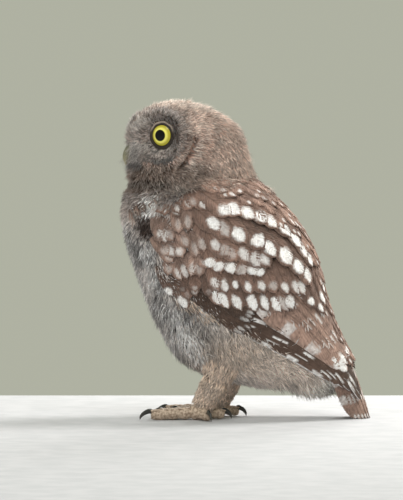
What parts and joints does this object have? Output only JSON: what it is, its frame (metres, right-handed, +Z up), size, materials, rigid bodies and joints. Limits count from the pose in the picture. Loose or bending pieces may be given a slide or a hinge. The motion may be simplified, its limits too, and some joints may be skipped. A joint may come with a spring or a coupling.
{
  "type": "little owl model",
  "caption": "Life-size still model of a fledgling little owl standing upright, with folded spotted wings, a short tail touching the ground, yellow eyes and a hooked bill.",
  "frame": {"origin": "on the floor, under the middle of the owl's box: midway from the front of the face to the end of the tail, and midway across", "axes": "+Z up, -X the way the bird faces, -Y towards its left side"},
  "size_m": [0.1502, 0.0858, 0.1918],
  "materials": {
    "wing_feathers": "matt warm brown feathers with rows of white spots",
    "head_down": "soft matt grey-brown down with pale tips",
    "breast_down": "soft matt greyish white down with dark streaks",
    "leg_down": "short matt buff down",
    "toe_skin": "thinly bristled brown skin",
    "claw": "smooth dark horn",
    "bill": "smooth greenish grey horn",
    "eye": "wet, glossy yellow iris round a black pupil"
  },
  "bodies": {
    "root": {"head": "head_down", "bill_upper": "bill", "bill_lower": "bill", "eye_left": "eye", "ear_left": "head_down", "eye_right": "eye", "ear_right": "head_down", "neck": "head_down", "torso": "breast_down", "tail": "wing_feathers", "wing_left": "wing_feathers", "thigh_left": "leg_down", "shank_left": "leg_down", "foot_left": "toe_skin", "toe_left_1": "toe_skin", "claw_left_1": "claw", "toe_left_2": "toe_skin", "claw_left_2": "claw", "toe_left_3": "toe_skin", "claw_left_3": "claw", "toe_left_4": "toe_skin", "claw_left_4": "claw", "wing_right": "wing_feathers", "thigh_right": "leg_down", "shank_right": "leg_down", "foot_right": "toe_skin", "toe_right_1": "toe_skin", "claw_right_1": "claw", "toe_right_2": "toe_skin", "claw_right_2": "claw", "toe_right_3": "toe_skin", "claw_right_3": "claw", "toe_right_4": "toe_skin", "claw_right_4": "claw"}
  },
  "joints": []
}
